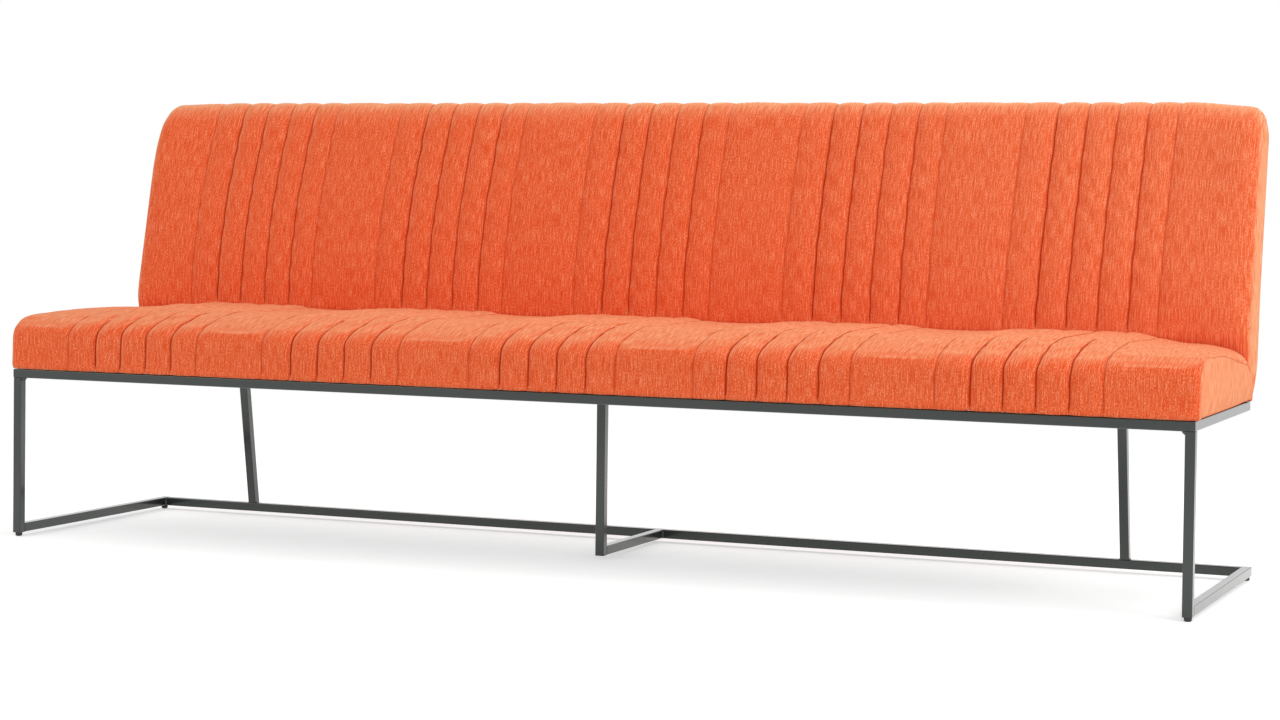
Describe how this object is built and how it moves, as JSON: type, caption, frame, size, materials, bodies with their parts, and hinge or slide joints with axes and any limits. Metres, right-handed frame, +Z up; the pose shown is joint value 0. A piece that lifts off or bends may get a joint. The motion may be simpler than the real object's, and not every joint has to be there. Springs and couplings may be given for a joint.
{
  "type": "dining sofa",
  "caption": "Long dining sofa with a pleated orange seat and raked pleated back on a thin dark square-tube steel frame with screw-in levelling glides",
  "frame": {"origin": "on the floor, at the middle of the length and depth", "axes": "X along the length, Y from front to back, Z up"},
  "size_m": [2.404, 0.6502, 0.8931],
  "materials": {
    "dark_steel": "satin dark grey powder coat",
    "zinc_steel": "zinc plated steel",
    "black_nylon": "moulded black nylon",
    "timber": "planed softwood, bare",
    "foam": "cut upholstery foam",
    "black_cloth": "black woven webbing and lining",
    "woven_fabric": "orange slubbed woven upholstery, pleated"
  },
  "bodies": {
    "frame": {"seat_rail_front": "dark_steel", "seat_rail_rear": "dark_steel", "seat_rail_left": "dark_steel", "seat_rail_right": "dark_steel", "seat_cross_rail": "dark_steel", "front_leg_left": "dark_steel", "front_leg_right": "dark_steel", "centre_leg": "dark_steel", "rear_leg_left": "dark_steel", "rear_leg_right": "dark_steel", "floor_runner_left": "dark_steel", "floor_runner_right": "dark_steel", "floor_runner_centre": "dark_steel", "floor_rail_rear": "dark_steel", "tube_end_plates": "dark_steel", "leg_inserts": "black_nylon", "runner_nuts": "zinc_steel", "seat_tabs": "dark_steel", "seat_screws": "zinc_steel", "seat_board_front": "timber", "seat_board_rear": "timber", "seat_board_left": "timber", "seat_board_right": "timber", "seat_board_cross": "timber", "seat_webbing": "black_cloth", "seat_foam": "foam", "seat_cover": "woven_fabric", "seat_lining": "black_cloth", "back_bars": "dark_steel", "back_screws": "zinc_steel", "back_board_top": "timber", "back_board_bottom": "timber", "back_board_left": "timber", "back_board_right": "timber", "back_uprights": "timber", "back_webbing": "black_cloth", "back_foam": "foam", "back_rear_pad": "foam", "back_cover": "woven_fabric"},
    "glide_front_left": {"glide_foot_front_left": "black_nylon", "glide_stud_front_left": "zinc_steel"},
    "glide_front_right": {"glide_foot_front_right": "black_nylon", "glide_stud_front_right": "zinc_steel"},
    "glide_rear_left": {"glide_foot_rear_left": "black_nylon", "glide_stud_rear_left": "zinc_steel"},
    "glide_rear_right": {"glide_foot_rear_right": "black_nylon", "glide_stud_rear_right": "zinc_steel"}
  },
  "joints": [
    {"name": "level_front_left", "type": "slide", "parent": "frame", "child": "glide_front_left", "axis": [0, 0, -1], "range_m": [0, 0.008]},
    {"name": "level_front_right", "type": "slide", "parent": "frame", "child": "glide_front_right", "axis": [0, 0, -1], "range_m": [0, 0.008]},
    {"name": "level_rear_left", "type": "slide", "parent": "frame", "child": "glide_rear_left", "axis": [0, 0, -1], "range_m": [0, 0.008]},
    {"name": "level_rear_right", "type": "slide", "parent": "frame", "child": "glide_rear_right", "axis": [0, 0, -1], "range_m": [0, 0.008]}
  ]
}
